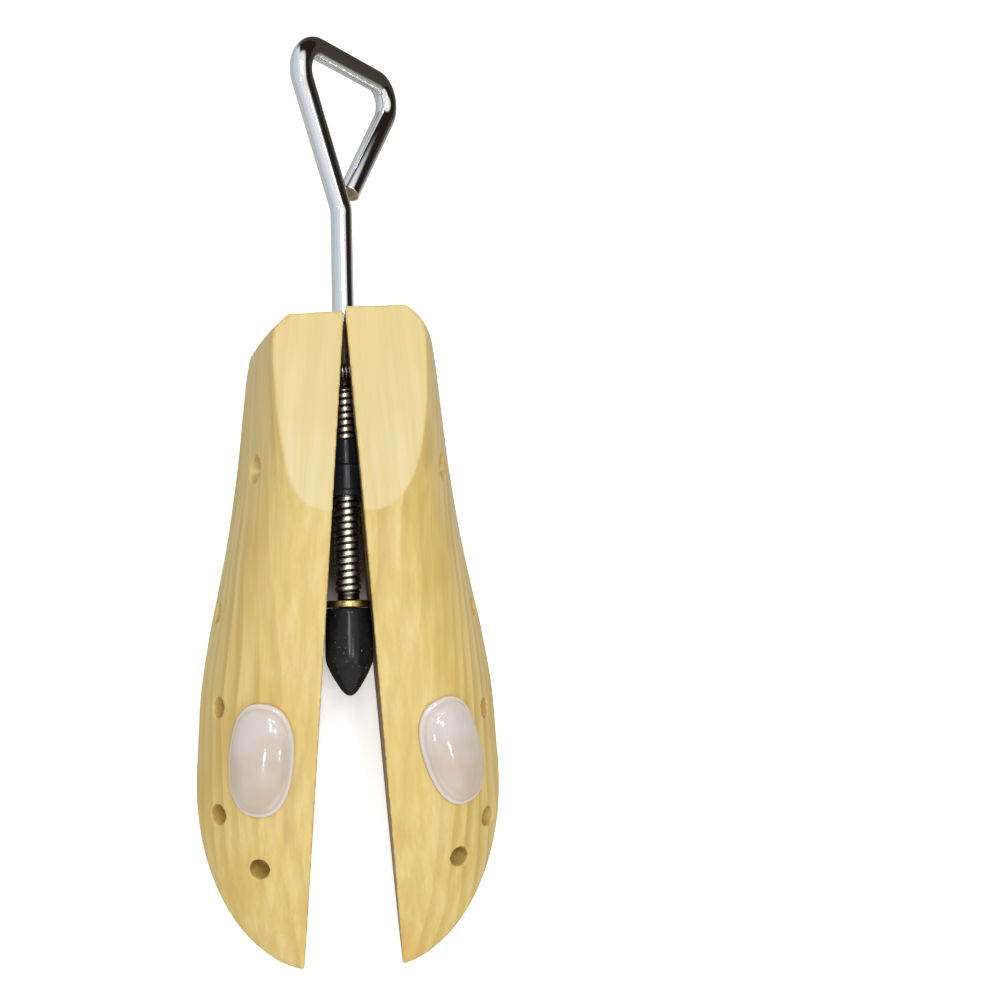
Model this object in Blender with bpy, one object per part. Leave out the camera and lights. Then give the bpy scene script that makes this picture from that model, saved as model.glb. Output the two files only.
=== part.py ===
"""Two-part wooden shoe stretcher with a screw-driven spreader cone, lengths in metres.

+X is across the shoe, +Y runs from the toe to the handle, +Z is up and the soles lie on z = 0.
Most shapes are given in a half's own closed position: w is the distance from its inner face,
d the distance from the heel end towards the toe. place() turns them into the spread position.
"""
import math

import bmesh
import bpy
import numpy as np
from mathutils import Vector

# Overall layout
LENGTH = 0.2365
HEEL_Y = 0.068182
SWING = math.radians(4.3)
AXIS_Z = 0.030
FACET_Z = 0.049
FACE_GAP = 0.00015
TOE_Z = 0.0115

# Wooden half: (d, width), (d, crown height), (d, sole height), (d, side lean)
WIDTHS = ((0.0, 0.0262), (0.003, 0.0302), (0.006, 0.0330), (0.010, 0.0343), (0.027, 0.0353),
          (0.050, 0.0360), (0.078, 0.0378), (0.101, 0.0404), (0.120, 0.0428), (0.143, 0.0443),
          (0.162, 0.0439))
TOE_START = 0.162
CROWNS = ((0.0, 0.0760), (0.020, 0.0690), (0.040, 0.0615), (0.060, 0.0532), (0.072, 0.0490),
          (0.100, 0.0432), (0.128, 0.0375), (0.152, 0.0332), (0.185, 0.0270), (0.213, 0.0205),
          (0.2365, 0.0160))
HEEL_CUT = {-1: (0.0004, 0.138), 1: (-0.0012, 0.045)}
SOLE_RISE_START = 0.145
SOLE_RISE = 0.0075
NOSE_START = 0.200
STATIONS = (0.0, 0.0015, 0.003, 0.006, 0.010, 0.016, 0.024, 0.034, 0.044, 0.054, 0.063, 0.072,
            0.082, 0.092, 0.102, 0.112, 0.122, 0.132, 0.142, 0.152, 0.162, 0.171, 0.180, 0.188,
            0.196, 0.203, 0.210, 0.216, 0.2212, 0.2255, 0.2290, 0.2318, 0.2340, 0.2355, 0.2362)

# Screw and handle
SHANK_R = 0.0040
THREAD_R = 0.00475
ROOT_R = 0.00380
PITCH = 0.0025
THREAD_START = 0.0240
THREAD_END = 0.1010
SHOULDER = 0.1024
JOURNAL_R = 0.0030
JOURNAL_END = 0.1240
GROOVE = (0.1180, 0.1210)
GROOVE_R = 0.0020
BEND_OUT = 0.0420
HANDLE_H = 0.0535
HANDLE_HALF = 0.0334
HANDLE_TURN = math.radians(52.2)
HANDLE_UP = math.radians(5.65)
HANDLE_ASIDE = math.radians(2.72)
HANDLE_FREE = 0.875
BEND_R = 0.0087
TRAVEL = 0.03625

# Nut, cross pins, washer and cone
NUT_FROM = 0.0446
NUT_STEP = 0.0538
NUT_FLANGE = 0.0630
NUT_TO = 0.0652
NUT_R = (0.0064, 0.0076, 0.0084)
TRUNNION_D = 0.0570
TRUNNION_R = 0.0034
TRUNNION_TIP = 0.0215
WASHER = (0.1027, 0.1051)
WASHER_R = 0.0080
CHANNEL_SLACK = 0.0006
CONE = ((0.1054, 0.0076), (0.1066, 0.0080), (0.1120, 0.00835), (0.1180, 0.0086),
        (0.1223, 0.00865), (0.1250, 0.0083), (0.1270, 0.0075), (0.1293, 0.0064),
        (0.1322, 0.0047), (0.1348, 0.0030), (0.1362, 0.0017), (0.1368, 0.0008))

# Spring across the heel
SPRING_D = 0.0220
SPRING_Z = 0.0406
SPRING_PIN_W = 0.0165
SPRING_PIN_R = 0.0013
SPRING_R = 0.0026
WIRE_R = 0.0005

# Pressure plugs and the bores that take them: (side, w, d)
PEG_R = 0.0034
HOLE_R = 0.0037
HOLE_DEPTH = 0.0120
PLUG_HALF = (0.0120, 0.0205)
PLUG_TALL = 0.0062
PLUGS = {"left_plug": (-1, 0.0201, 0.1604, -4.0), "right_plug": (1, 0.0252, 0.1600, 18.0)}
SPARE_HOLES = ((-1, 0.0368, 0.1429), (-1, 0.0345, 0.1814), (-1, 0.0184, 0.1998),
               (-1, 0.0395, 0.1087), (1, 0.0242, 0.1995), (1, 0.0395, 0.1469),
               (1, 0.0368, 0.1870), (1, 0.0395, 0.1087))
GAP = 0.0003


def material(name, colour, metallic, roughness):
    mat = bpy.data.materials.new(name)
    mat.use_nodes = True
    shader = mat.node_tree.nodes["Principled BSDF"]
    shader.inputs["Base Color"].default_value = (*colour, 1.0)
    shader.inputs["Metallic"].default_value = metallic
    shader.inputs["Roughness"].default_value = roughness
    mat.diffuse_color = (*colour, 1.0)
    return mat


def smooth_curve(table, x):
    """Monotone cubic through the table's points."""
    xs = np.array([p[0] for p in table])
    ys = np.array([p[1] for p in table])
    x = min(max(x, xs[0]), xs[-1])
    step = np.diff(xs)
    slope = np.diff(ys) / step
    tangent = np.zeros(len(xs))
    tangent[0] = slope[0]
    tangent[-1] = slope[-1]
    for i in range(1, len(xs) - 1):
        if slope[i - 1] * slope[i] > 0:
            tangent[i] = 2 / (1 / slope[i - 1] + 1 / slope[i])
    i = int(min(max(np.searchsorted(xs, x) - 1, 0), len(step) - 1))
    t = (x - xs[i]) / step[i]
    a = (1 + 2 * t) * (1 - t) ** 2
    b = t * (1 - t) ** 2
    c = t * t * (3 - 2 * t)
    e = t * t * (t - 1)
    return float(a * ys[i] + b * step[i] * tangent[i] + c * ys[i + 1] + e * step[i] * tangent[i + 1])


def place(side, w, d, z):
    """A point of the left (-1) or right (+1) half, from its closed position to its spread one."""
    c = math.cos(side * SWING)
    s = math.sin(side * SWING)
    x = side * w
    return Vector((c * x + s * d, s * x - c * d + HEEL_Y, z))


def nose_factor(d):
    if d <= NOSE_START:
        return 1.0
    t = (d - NOSE_START) / (LENGTH - NOSE_START)
    return math.sqrt(max(1 - t * t, 0.0))


def half_width(d):
    if d <= TOE_START:
        return smooth_curve(WIDTHS, d)
    t = (d - TOE_START) / (LENGTH - TOE_START)
    return WIDTHS[-1][1] * max(1 - t ** 2.2, 0.0) ** 0.6


def crown(d):
    return TOE_Z + (smooth_curve(CROWNS, d) - TOE_Z) * nose_factor(d)


def sole(d):
    t = max(d - SOLE_RISE_START, 0.0) / (LENGTH - SOLE_RISE_START)
    return TOE_Z - (TOE_Z - SOLE_RISE * t * t) * nose_factor(d)


def lean(d, side=1):
    """Share of its width that the side loses up to the crown; the left heel leans more."""
    even = 0.15 + 0.10 * min(d / 0.12, 1.0)
    if side > 0:
        return even
    t = min(max((0.095 - d) / 0.05, 0.0), 1.0)
    return even + 0.17 * t * t * (3 - 2 * t)


def squareness(d):
    return 3.2 - 1.0 * max(0.0, min((d - 0.15) / 0.08, 1.0))


def side_foot(d):
    """Height of the widest line of the side."""
    return sole(d) + min(0.004, 0.35 * (crown(d) - sole(d)))


def surface_point(d, q, side=1):
    """(w, z) on the side and top, q running from 0 at the widest line to 1 at the crown."""
    n = squareness(d)
    foot = side_foot(d)
    across = max(1 - q ** n, 0.0) ** (1 / n) * (1 - lean(d, side) * q)
    return half_width(d) * across, foot + (crown(d) - foot) * q


def surface_height(w, d):
    low = 0.0
    high = 1.0
    for _ in range(40):
        middle = (low + high) / 2
        if surface_point(d, middle)[0] > w:
            low = middle
        else:
            high = middle
    return min(surface_point(d, (low + high) / 2)[1], FACET_Z)


def surface_normal(w, d):
    step = 0.0005
    across = (surface_height(w + step, d) - surface_height(w - step, d)) / (2 * step)
    along = (surface_height(w, d + step) - surface_height(w, d - step)) / (2 * step)
    return Vector((-across, -along, 1.0)).normalized()


def section(side, d):
    width = half_width(d)
    bottom = sole(d)
    foot = side_foot(d)
    edge = min(0.005, 0.4 * width)
    points = [(FACE_GAP, bottom), (width * 0.5, bottom)]
    for k in range(4):
        a = math.radians(90 * k / 4)
        points.append((width - edge + edge * math.sin(a), foot - (foot - bottom) * math.cos(a)))
    for k in range(14):
        q = math.sin(math.radians(90 * k / 14)) ** 1.15
        points.append(surface_point(d, q, side))
    points.append((FACE_GAP, crown(d)))
    return [(max(w, FACE_GAP), z) for w, z in points]


def finish(name, bm, mat, smooth=True):
    bmesh.ops.recalc_face_normals(bm, faces=bm.faces)
    mesh = bpy.data.meshes.new(name)
    bm.to_mesh(mesh)
    bm.free()
    obj = bpy.data.objects.new(name, mesh)
    bpy.context.collection.objects.link(obj)
    if mat is not None:
        mesh.materials.append(mat)
    for face in mesh.polygons:
        face.use_smooth = smooth
    return obj


def loft_into(bm, rings):
    rows = [[bm.verts.new(p) for p in ring] for ring in rings]
    count = len(rings[0])
    for first, second in zip(rows, rows[1:]):
        for k in range(count):
            n = (k + 1) % count
            bm.faces.new((first[k], first[n], second[n], second[k]))
    bm.faces.new(rows[0])
    bm.faces.new(list(reversed(rows[-1])))


def loft(name, rings, mat, smooth=True):
    bm = bmesh.new()
    loft_into(bm, rings)
    return finish(name, bm, mat, smooth)


def circle(centre, first, second, radius, sides):
    ring = []
    for k in range(sides):
        a = 2 * math.pi * k / sides
        ring.append(centre + first * (radius * math.cos(a)) + second * (radius * math.sin(a)))
    return ring


def cross_axes(direction):
    up = Vector((0, 0, 1)) if abs(direction.z) < 0.9 else Vector((1, 0, 0))
    first = direction.cross(up).normalized()
    return first, direction.cross(first).normalized()


def rod_into(bm, start, end, radius, sides):
    first, second = cross_axes((end - start).normalized())
    loft_into(bm, [circle(start, first, second, radius, sides),
                   circle(end, first, second, radius, sides)])


def turned_rings(profile, sides, phase=0.0):
    """Rings about the screw's axis for (d, radius) points."""
    rings = []
    for d, radius in profile:
        ring = []
        for k in range(sides):
            a = 2 * math.pi * (k + phase) / sides
            ring.append(Vector((radius * math.cos(a), HEEL_Y - d, AXIS_Z + radius * math.sin(a))))
        rings.append(ring)
    return rings


def cutter(name, bm):
    obj = finish(name, bm, None, False)
    obj.hide_render = True
    obj.display_type = "WIRE"
    return obj


def cut(obj, tool):
    mod = obj.modifiers.new("cut_" + tool.name, "BOOLEAN")
    mod.operation = "DIFFERENCE"
    mod.solver = "EXACT"
    mod.object = tool


def cone_radius(d):
    if d < WASHER[0] or d > CONE[-1][0]:
        return 0.0
    if d < CONE[0][0]:
        return WASHER_R
    return float(np.interp(d, [p[0] for p in CONE], [p[1] for p in CONE]))


def channel_depth(d):
    """Half-depth that lets the cone pass through its whole travel while the halves swing."""
    most = 0.0
    for back in np.linspace(0.0, TRAVEL, 60):
        angle = SWING * (1 - back / TRAVEL)
        radius = cone_radius(d + back)
        if radius > 0:
            most = max(most, radius - d * math.sin(angle))
    return most + CHANNEL_SLACK


def core_cutter(side):
    """Half-round channel for the screw, pocket for the nut and tapering run for the cone."""
    rings = []
    plan = [(-0.006, 0.0057, 0.0057), (0.0434, 0.0057, 0.0057), (0.0436, 0.0090, 0.0090),
            (0.0640, 0.0090, 0.0090)]
    for d in np.linspace(0.068, 0.140, 25):
        depth = channel_depth(float(d))
        if depth > CHANNEL_SLACK:
            plan.append((float(d), 0.0092, depth))
    plan.append((plan[-1][0] + 0.003, 0.0092, CHANNEL_SLACK))
    plan.append((plan[-1][0] + 0.003, 0.0092, -0.0004))
    for d, radius, depth in plan:
        ring = []
        for k in range(24):
            a = 2 * math.pi * (k + 0.5) / 24
            ring.append(place(side, depth - radius + radius * math.cos(a), d,
                              AXIS_Z + radius * math.sin(a)))
        rings.append(ring)
    bm = bmesh.new()
    loft_into(bm, rings)
    return cutter("core_cut_" + ("left" if side < 0 else "right"), bm)


def facet_cutter(side):
    bm = bmesh.new()
    ring = [(-0.01, -0.02), (0.06, -0.02), (0.06, 0.09), (-0.01, 0.09)]
    loft_into(bm, [[place(side, w, d, z) for w, d in ring] for z in (FACET_Z, 0.095)])
    return cutter("facet_cut_" + ("left" if side < 0 else "right"), bm)


def cross_cutter(side):
    """Through bore for the nut's cross pin and blind bore for the spring."""
    bm = bmesh.new()
    rod_into(bm, place(side, -0.004, TRUNNION_D, AXIS_Z),
             place(side, 0.060, TRUNNION_D, AXIS_Z), 0.0050, 20)
    rod_into(bm, place(side, -0.004, SPRING_D - 0.0007, SPRING_Z),
             place(side, 0.0208, SPRING_D - 0.0007, SPRING_Z), 0.0045, 16)
    return cutter("cross_cut_" + ("left" if side < 0 else "right"), bm)


def plug_frame(side, w, d, turn=0.0):
    """Seat point, outward normal and the plug's long and short directions, spread position."""
    seat = place(side, w, d, surface_height(w, d))
    n = surface_normal(w, d)
    tip = place(side, w + n.x * 0.01, d + n.y * 0.01, surface_height(w, d) + n.z * 0.01)
    normal = (tip - seat).normalized()
    ahead = place(side, w, d - 0.01, 0.0) - place(side, w, d, 0.0)
    ahead = (ahead - normal * ahead.dot(normal)).normalized()
    across = normal.cross(ahead)
    c = math.cos(math.radians(turn))
    s = math.sin(math.radians(turn))
    return seat, normal, ahead * c + across * s, across * c - ahead * s


def vertical_cutter(side):
    """Bore for the spring's anchor pin from below, and the bores for the plugs' pegs."""
    bm = bmesh.new()
    rod_into(bm, place(side, SPRING_PIN_W, SPRING_D, -0.004),
             place(side, SPRING_PIN_W, SPRING_D, 0.0462), SPRING_PIN_R + GAP, 14)
    spots = [(w, d) for s, w, d in SPARE_HOLES if s == side]
    spots += [(w, d) for s, w, d, _ in PLUGS.values() if s == side]
    for w, d in spots:
        seat, normal, _, _ = plug_frame(side, w, d)
        rod_into(bm, seat - normal * HOLE_DEPTH, seat + normal * 0.006, HOLE_R, 20)
    return cutter("peg_cut_" + ("left" if side < 0 else "right"), bm)


def build_half(name, side, mat):
    rings = []
    for d in STATIONS:
        offset, slope = HEEL_CUT[side]
        fade = max(0.0, 1 - d / 0.02)
        rings.append([place(side, w, d + (offset + w * slope) * fade, z)
                      for w, z in section(side, d)])
    obj = loft(name, rings, mat)
    cut(obj, facet_cutter(side))
    cut(obj, core_cutter(side))
    cut(obj, cross_cutter(side))
    cut(obj, vertical_cutter(side))
    return obj


def thread_into(bm, start, end, root, crest, sides, lead_in, lead_out):
    """Helical V thread between two flat ends, with rings before and after it."""
    turns = int(math.ceil((end - start) / PITCH)) + 1
    shape = ((0.0, 0.0), (0.36, 1.0), (0.56, 1.0))
    rows = []
    for j in range(turns * 3 + 1):
        share, high = shape[j % 3]
        row = []
        for i in range(sides + 1):
            d = start + PITCH * (j // 3 + share + i / sides - 1)
            d = min(max(d, start), end)
            ramp = min((d - start) / PITCH, (end - d) / PITCH, 1.0)
            radius = root + (crest - root) * high * ramp
            a = 2 * math.pi * i / sides
            row.append(bm.verts.new((radius * math.cos(a), HEEL_Y - d,
                                     AXIS_Z + radius * math.sin(a))))
        rows.append(row)
    for first, second in zip(rows, rows[1:]):
        for i in range(sides):
            bm.faces.new((first[i], first[i + 1], second[i + 1], second[i]))
    for rings, d, flip in ((lead_in, start, False), (lead_out, end, True)):
        chain = turned_rings([(d, root)], sides) + rings
        last = [[bm.verts.new(p) for p in ring] for ring in chain]
        for first, second in zip(last, last[1:]):
            for i in range(sides):
                n = (i + 1) % sides
                bm.faces.new((first[i], first[n], second[n], second[i]))
        bm.faces.new(last[-1])
    bmesh.ops.remove_doubles(bm, verts=bm.verts, dist=0.00002)
    bmesh.ops.dissolve_degenerate(bm, edges=bm.edges, dist=0.00001)


def rounded_path(points, radius, steps):
    """Straight runs through the points, each inner corner rounded to the radius."""
    path = [points[0]]
    for before, here, after in zip(points, points[1:], points[2:]):
        a = (before - here).normalized()
        b = (after - here).normalized()
        half = a.angle(b) / 2
        reach = radius / math.tan(half)
        centre = here + (a + b).normalized() * (radius / math.sin(half))
        start = here + a * reach - centre
        stop = here + b * reach - centre
        sweep = start.angle(stop)
        for k in range(steps + 1):
            t = k / steps
            path.append(centre + (start * math.sin((1 - t) * sweep)
                                  + stop * math.sin(t * sweep)) / math.sin(sweep))
    path.append(points[-1])
    return path


def handle_rings(sides):
    """Rings of the bent triangle, from the shank's bend to the cut free end."""
    lateral = Vector((-math.cos(HANDLE_TURN), 0.0, math.sin(HANDLE_TURN)))
    bend = Vector((0.0, HEEL_Y + BEND_OUT, AXIS_Z))
    ahead = Vector((math.sin(HANDLE_ASIDE), math.cos(HANDLE_UP) * math.cos(HANDLE_ASIDE),
                    math.sin(HANDLE_UP)))
    near = bend + lateral * HANDLE_HALF + ahead * HANDLE_H
    far = bend - lateral * HANDLE_HALF + ahead * HANDLE_H
    free = far + (bend - far) * HANDLE_FREE
    start = Vector((0.0, HEEL_Y + 0.012, AXIS_Z))
    path = rounded_path([start, bend, near, far, free], BEND_R, 6)
    normal = lateral.cross(ahead).normalized()
    rings = []
    for i, point in enumerate(path):
        ahead = path[min(i + 1, len(path) - 1)] - path[max(i - 1, 0)]
        ahead.normalize()
        side = normal.cross(ahead).normalized()
        ring = []
        for k in range(sides):
            a = 2 * math.pi * k / sides
            ring.append(point + side * (SHANK_R * math.cos(a)) + normal * (SHANK_R * math.sin(a)))
        rings.append(ring)
    offset = rings[0]
    best = min(range(sides), key=lambda k: (offset[k] - start - Vector((SHANK_R, 0, 0))).length)
    order = [best + k for k in range(sides)]
    step = offset[(best + 1) % sides] - start
    if step.z < 0:
        order = [best - k for k in range(sides)]
    return [[ring[k % sides] for k in order] for ring in rings]


def build_screw(mat):
    sides = 16
    bm = bmesh.new()
    shank = turned_rings([(THREAD_START - 0.0008, SHANK_R), (-0.010, SHANK_R)], sides)
    journal = turned_rings([(THREAD_END + 0.0006, SHANK_R), (SHOULDER, SHANK_R),
                            (SHOULDER, JOURNAL_R), (GROOVE[0], JOURNAL_R), (GROOVE[0], GROOVE_R),
                            (GROOVE[1], GROOVE_R), (GROOVE[1], JOURNAL_R),
                            (JOURNAL_END - 0.0005, JOURNAL_R),
                            (JOURNAL_END, JOURNAL_R - 0.0005)], sides)
    thread_into(bm, THREAD_START, THREAD_END, ROOT_R, THREAD_R, sides,
                shank + handle_rings(sides), journal)
    return finish("handle_screw", bm, mat)


def build_nut(mat):
    sides = 28
    outline = [(NUT_FROM, NUT_R[0] - 0.0006), (NUT_FROM + 0.0006, NUT_R[0]),
               (NUT_STEP, NUT_R[0]), (NUT_STEP, NUT_R[1]), (NUT_FLANGE, NUT_R[1]),
               (NUT_FLANGE, NUT_R[2]), (NUT_TO, NUT_R[2])]
    nut = loft("thread_nut", turned_rings(outline, sides), mat, False)
    bm = bmesh.new()
    start = THREAD_START + 7 * PITCH
    ends = (turned_rings([(start - 0.002, ROOT_R + GAP)], 16),
            turned_rings([(start + 11 * PITCH + 0.002, ROOT_R + GAP)], 16))
    thread_into(bm, start, start + 11 * PITCH, ROOT_R + GAP, THREAD_R + GAP, 16, *ends)
    cut(nut, cutter("nut_thread_cut", bm))
    bm = bmesh.new()
    for side in (-1, 1):
        rod_into(bm, Vector((side * 0.0060, HEEL_Y - TRUNNION_D, AXIS_Z)),
                 Vector((side * 0.0120, HEEL_Y - TRUNNION_D, AXIS_Z)), 0.0022, 16)
    cut(nut, cutter("nut_side_cut", bm))
    return nut


def build_trunnion(name, side, mat):
    """Cross pin: thin tenon in the nut's side, thick pin in the half's bore."""
    rings = []
    for x, radius in ((0.0063, 0.0019), (NUT_R[1] + 0.0003, 0.0019),
                      (NUT_R[1] + 0.0003, TRUNNION_R), (TRUNNION_TIP - 0.0006, TRUNNION_R),
                      (TRUNNION_TIP, TRUNNION_R - 0.0006)):
        rings.append(circle(Vector((side * x, HEEL_Y - TRUNNION_D, AXIS_Z)),
                            Vector((0, 1, 0)), Vector((0, 0, 1)), radius, 18))
    return loft(name, rings, mat)


def build_washer(mat):
    sides = 28
    bm = bmesh.new()
    profile = [(WASHER[0], 0.0034), (WASHER[0], WASHER_R), (WASHER[1], WASHER_R),
               (WASHER[1], 0.0034)]
    rings = turned_rings(profile, sides)
    rows = [[bm.verts.new(p) for p in ring] for ring in rings]
    for first, second in zip(rows, rows[1:] + rows[:1]):
        for k in range(sides):
            n = (k + 1) % sides
            bm.faces.new((first[k], first[n], second[n], second[k]))
    return finish("thrust_washer", bm, mat, False)


def build_cone(mat):
    sides = 28
    cone = loft("spreader_cone", turned_rings(CONE, sides), mat)
    bm = bmesh.new()
    loft_into(bm, turned_rings([(CONE[0][0] - 0.003, 0.0034), (JOURNAL_END + 0.0008, 0.0034)], 20))
    cut(cone, cutter("cone_bore_cut", bm))
    bm = bmesh.new()
    middle = (GROOVE[0] + GROOVE[1]) / 2
    rod_into(bm, Vector((-0.012, HEEL_Y - middle, AXIS_Z - 0.0033)),
             Vector((0.012, HEEL_Y - middle, AXIS_Z - 0.0033)), 0.0013, 12)
    cut(cone, cutter("cone_pin_cut", bm))
    return cone


def build_cone_pin(mat):
    bm = bmesh.new()
    middle = (GROOVE[0] + GROOVE[1]) / 2
    rod_into(bm, Vector((-0.0074, HEEL_Y - middle, AXIS_Z - 0.0033)),
             Vector((0.0074, HEEL_Y - middle, AXIS_Z - 0.0033)), 0.0010, 12)
    return finish("cone_cross_pin", bm, mat)


def spring_path():
    """Close-wound coil between the two anchor pins, a hook round each."""
    left = place(-1, SPRING_PIN_W, SPRING_D, SPRING_Z)
    right = place(1, SPRING_PIN_W, SPRING_D, SPRING_Z)
    reach = right.x - 0.0062
    turns = 9
    points = []
    hook = 0.0022
    for k in range(12):
        a = math.radians(-150 + 300 * k / 11)
        points.append(left + Vector((-hook * math.cos(a), hook * math.sin(a), 0)))
    points.append(Vector((-reach - 0.0006, left.y + 0.0008, SPRING_Z)))
    steps = turns * 12
    for k in range(steps + 1):
        a = 2 * math.pi * k / 12
        x = -reach + 2 * reach * k / steps
        points.append(Vector((x, left.y + SPRING_R * math.cos(a), SPRING_Z + SPRING_R * math.sin(a))))
    points.append(Vector((reach + 0.0006, right.y + 0.0008, SPRING_Z)))
    for k in range(12):
        a = math.radians(150 - 300 * k / 11)
        points.append(right + Vector((hook * math.cos(a), hook * math.sin(a), 0)))
    return points


def build_spring(mat):
    path = spring_path()
    rings = []
    first = None
    for i, point in enumerate(path):
        ahead = (path[min(i + 1, len(path) - 1)] - path[max(i - 1, 0)]).normalized()
        if first is None:
            first = cross_axes(ahead)[0]
        first = (first - ahead * first.dot(ahead)).normalized()
        rings.append(circle(point, first, ahead.cross(first), WIRE_R, 6))
    return loft("tension_spring", rings, mat)


def build_spring_pin(name, side, mat):
    base = place(side, SPRING_PIN_W, SPRING_D, 0.0006)
    rings = []
    for z, radius in ((0.0006, SPRING_PIN_R), (0.0450, SPRING_PIN_R), (0.0456, 0.0007)):
        rings.append(circle(Vector((base.x, base.y, z)), Vector((1, 0, 0)), Vector((0, 1, 0)),
                            radius, 14))
    return loft(name, rings, mat)


def plug_seat(side, seat, normal, point):
    """The wood's surface under a point, measured along the plug's normal."""
    low = -0.012
    high = 0.004
    c = math.cos(-side * SWING)
    s = math.sin(-side * SWING)
    for _ in range(30):
        middle = (low + high) / 2
        p = point + normal * middle
        y = p.y - HEEL_Y
        w = side * (c * p.x - s * y)
        d = -(s * p.x + c * y)
        if p.z > surface_height(w, d):
            high = middle
        else:
            low = middle
    return point + normal * (high + GAP)


def build_plug(name, mat):
    """Oval pressure pad that follows the wood, with one round peg."""
    side, w, d, turn = PLUGS[name]
    seat, normal, ahead, across = plug_frame(side, w, d, turn)
    sides = 28
    oval = []
    for k in range(sides):
        a = 2 * math.pi * k / sides
        u = math.copysign(abs(math.cos(a)) ** 0.82, math.cos(a)) * PLUG_HALF[1]
        v = math.copysign(abs(math.sin(a)) ** 0.82, math.sin(a)) * PLUG_HALF[0]
        oval.append(ahead * u + across * v)
    peg_end = seat - normal * (HOLE_DEPTH - 0.0015)
    rings = [[peg_end + v.normalized() * (PEG_R - 0.0008) for v in oval],
             [peg_end + normal * 0.001 + v.normalized() * PEG_R for v in oval],
             [seat + normal * 0.0006 + v.normalized() * PEG_R for v in oval]]
    for scale, rise in ((0.60, 0.0), (0.985, 0.0), (1.0, 0.0006), (0.985, 0.0013),
                        (0.91, 0.0017), (0.87, 0.0024), (0.79, 0.0037), (0.68, 0.0048),
                        (0.53, 0.0056), (0.34, 0.0060), (0.13, PLUG_TALL)):
        ring = []
        for v in oval:
            base = plug_seat(side, seat, normal, seat + v * scale)
            ring.append(base + normal * rise)
        rings.append(ring)
    obj = loft(name, rings, mat)
    return obj


def main():
    for obj in list(bpy.data.objects):
        bpy.data.objects.remove(obj, do_unlink=True)
    wood = material("pine", (0.80, 0.60, 0.30), 0.0, 0.5)
    chrome = material("chromed_steel", (0.72, 0.73, 0.75), 1.0, 0.15)
    black = material("blackened_steel", (0.015, 0.015, 0.018), 0.6, 0.35)
    brass = material("brass", (0.62, 0.45, 0.16), 1.0, 0.35)
    steel = material("spring_steel", (0.45, 0.45, 0.46), 1.0, 0.35)
    milky = material("milky_plastic", (0.78, 0.72, 0.72), 0.0, 0.25)
    build_half("left_half", -1, wood)
    build_half("right_half", 1, wood)
    build_screw(chrome)
    build_nut(black)
    build_trunnion("left_cross_pin", -1, steel)
    build_trunnion("right_cross_pin", 1, steel)
    build_washer(brass)
    build_cone(black)
    build_cone_pin(steel)
    build_spring(steel)
    build_spring_pin("left_spring_pin", -1, steel)
    build_spring_pin("right_spring_pin", 1, steel)
    build_plug("left_plug", milky)
    build_plug("right_plug", milky)


main()
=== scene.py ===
"""Finished pieces, materials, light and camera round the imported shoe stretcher, lengths in metres.

Shapes are given in a half's closed position, as in the CAD model: w is the distance from its
inner face and d the distance from the heel end towards the toe.
"""
import math
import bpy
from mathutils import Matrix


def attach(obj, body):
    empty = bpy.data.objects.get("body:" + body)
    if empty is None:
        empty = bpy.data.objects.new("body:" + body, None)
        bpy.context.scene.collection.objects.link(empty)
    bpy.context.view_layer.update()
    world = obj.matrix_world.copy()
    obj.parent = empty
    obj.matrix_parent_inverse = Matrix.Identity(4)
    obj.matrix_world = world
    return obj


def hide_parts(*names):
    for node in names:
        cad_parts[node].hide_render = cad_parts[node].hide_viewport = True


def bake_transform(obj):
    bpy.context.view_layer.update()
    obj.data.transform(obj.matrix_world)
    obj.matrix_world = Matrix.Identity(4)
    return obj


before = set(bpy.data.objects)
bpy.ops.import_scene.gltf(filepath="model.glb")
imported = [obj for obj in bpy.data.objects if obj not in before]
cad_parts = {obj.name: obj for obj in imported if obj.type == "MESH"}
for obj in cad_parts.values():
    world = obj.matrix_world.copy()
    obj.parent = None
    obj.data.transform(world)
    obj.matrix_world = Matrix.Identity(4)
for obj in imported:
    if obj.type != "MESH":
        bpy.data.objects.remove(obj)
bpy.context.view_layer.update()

from types import SimpleNamespace

import bmesh
import bpy
import numpy as np
from mathutils import Vector

# Overall layout
LENGTH = 0.2365
HEEL_Y = 0.068182
SWING = math.radians(4.3)
AXIS_Z = 0.030
FACET_Z = 0.049
FACE_GAP = 0.00015
TOE_Z = 0.0115

# Wooden half
WIDTHS = ((0.0, 0.0262), (0.003, 0.0302), (0.006, 0.0330), (0.010, 0.0343), (0.027, 0.0353),
          (0.050, 0.0360), (0.078, 0.0378), (0.101, 0.0404), (0.120, 0.0428), (0.143, 0.0443),
          (0.162, 0.0439))
TOE_START = 0.162
CROWNS = ((0.0, 0.0760), (0.020, 0.0690), (0.040, 0.0615), (0.060, 0.0532), (0.072, 0.0490),
          (0.100, 0.0432), (0.128, 0.0375), (0.152, 0.0332), (0.185, 0.0270), (0.213, 0.0205),
          (0.2365, 0.0160))
# Slant of each heel end, (offset, slope), which fades out towards the toe
HEEL_CUT = {-1: (0.0004, 0.138), 1: (-0.0012, 0.045)}
HEEL_FADE = 0.020
# How much a side leans in from the heel on, and how much more at the waist
LEAN = 0.15
WAIST_LEAN = 0.10
WAIST_D = 0.120
# The left heel leans further in, until LEFT_LEAN_END
LEFT_LEAN = 0.17
LEFT_LEAN_END = 0.095
LEFT_LEAN_FADE = 0.050
SOLE_RISE_START = 0.145
SOLE_RISE = 0.0075
NOSE_START = 0.200
VOXEL = 0.00055

# Hollows in the halves
SCREW_BORE_R = 0.0057
NUT_POCKET = (0.0436, 0.0640)
NUT_POCKET_R = 0.0090
CONE_RUN_R = 0.0092
CROSS_BORE_R = 0.0050
SPRING_BORE_R = 0.0045
SPRING_BORE_END = 0.0208
PIN_BORE_TOP = 0.0462
CUT_OUT = 0.004

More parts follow.
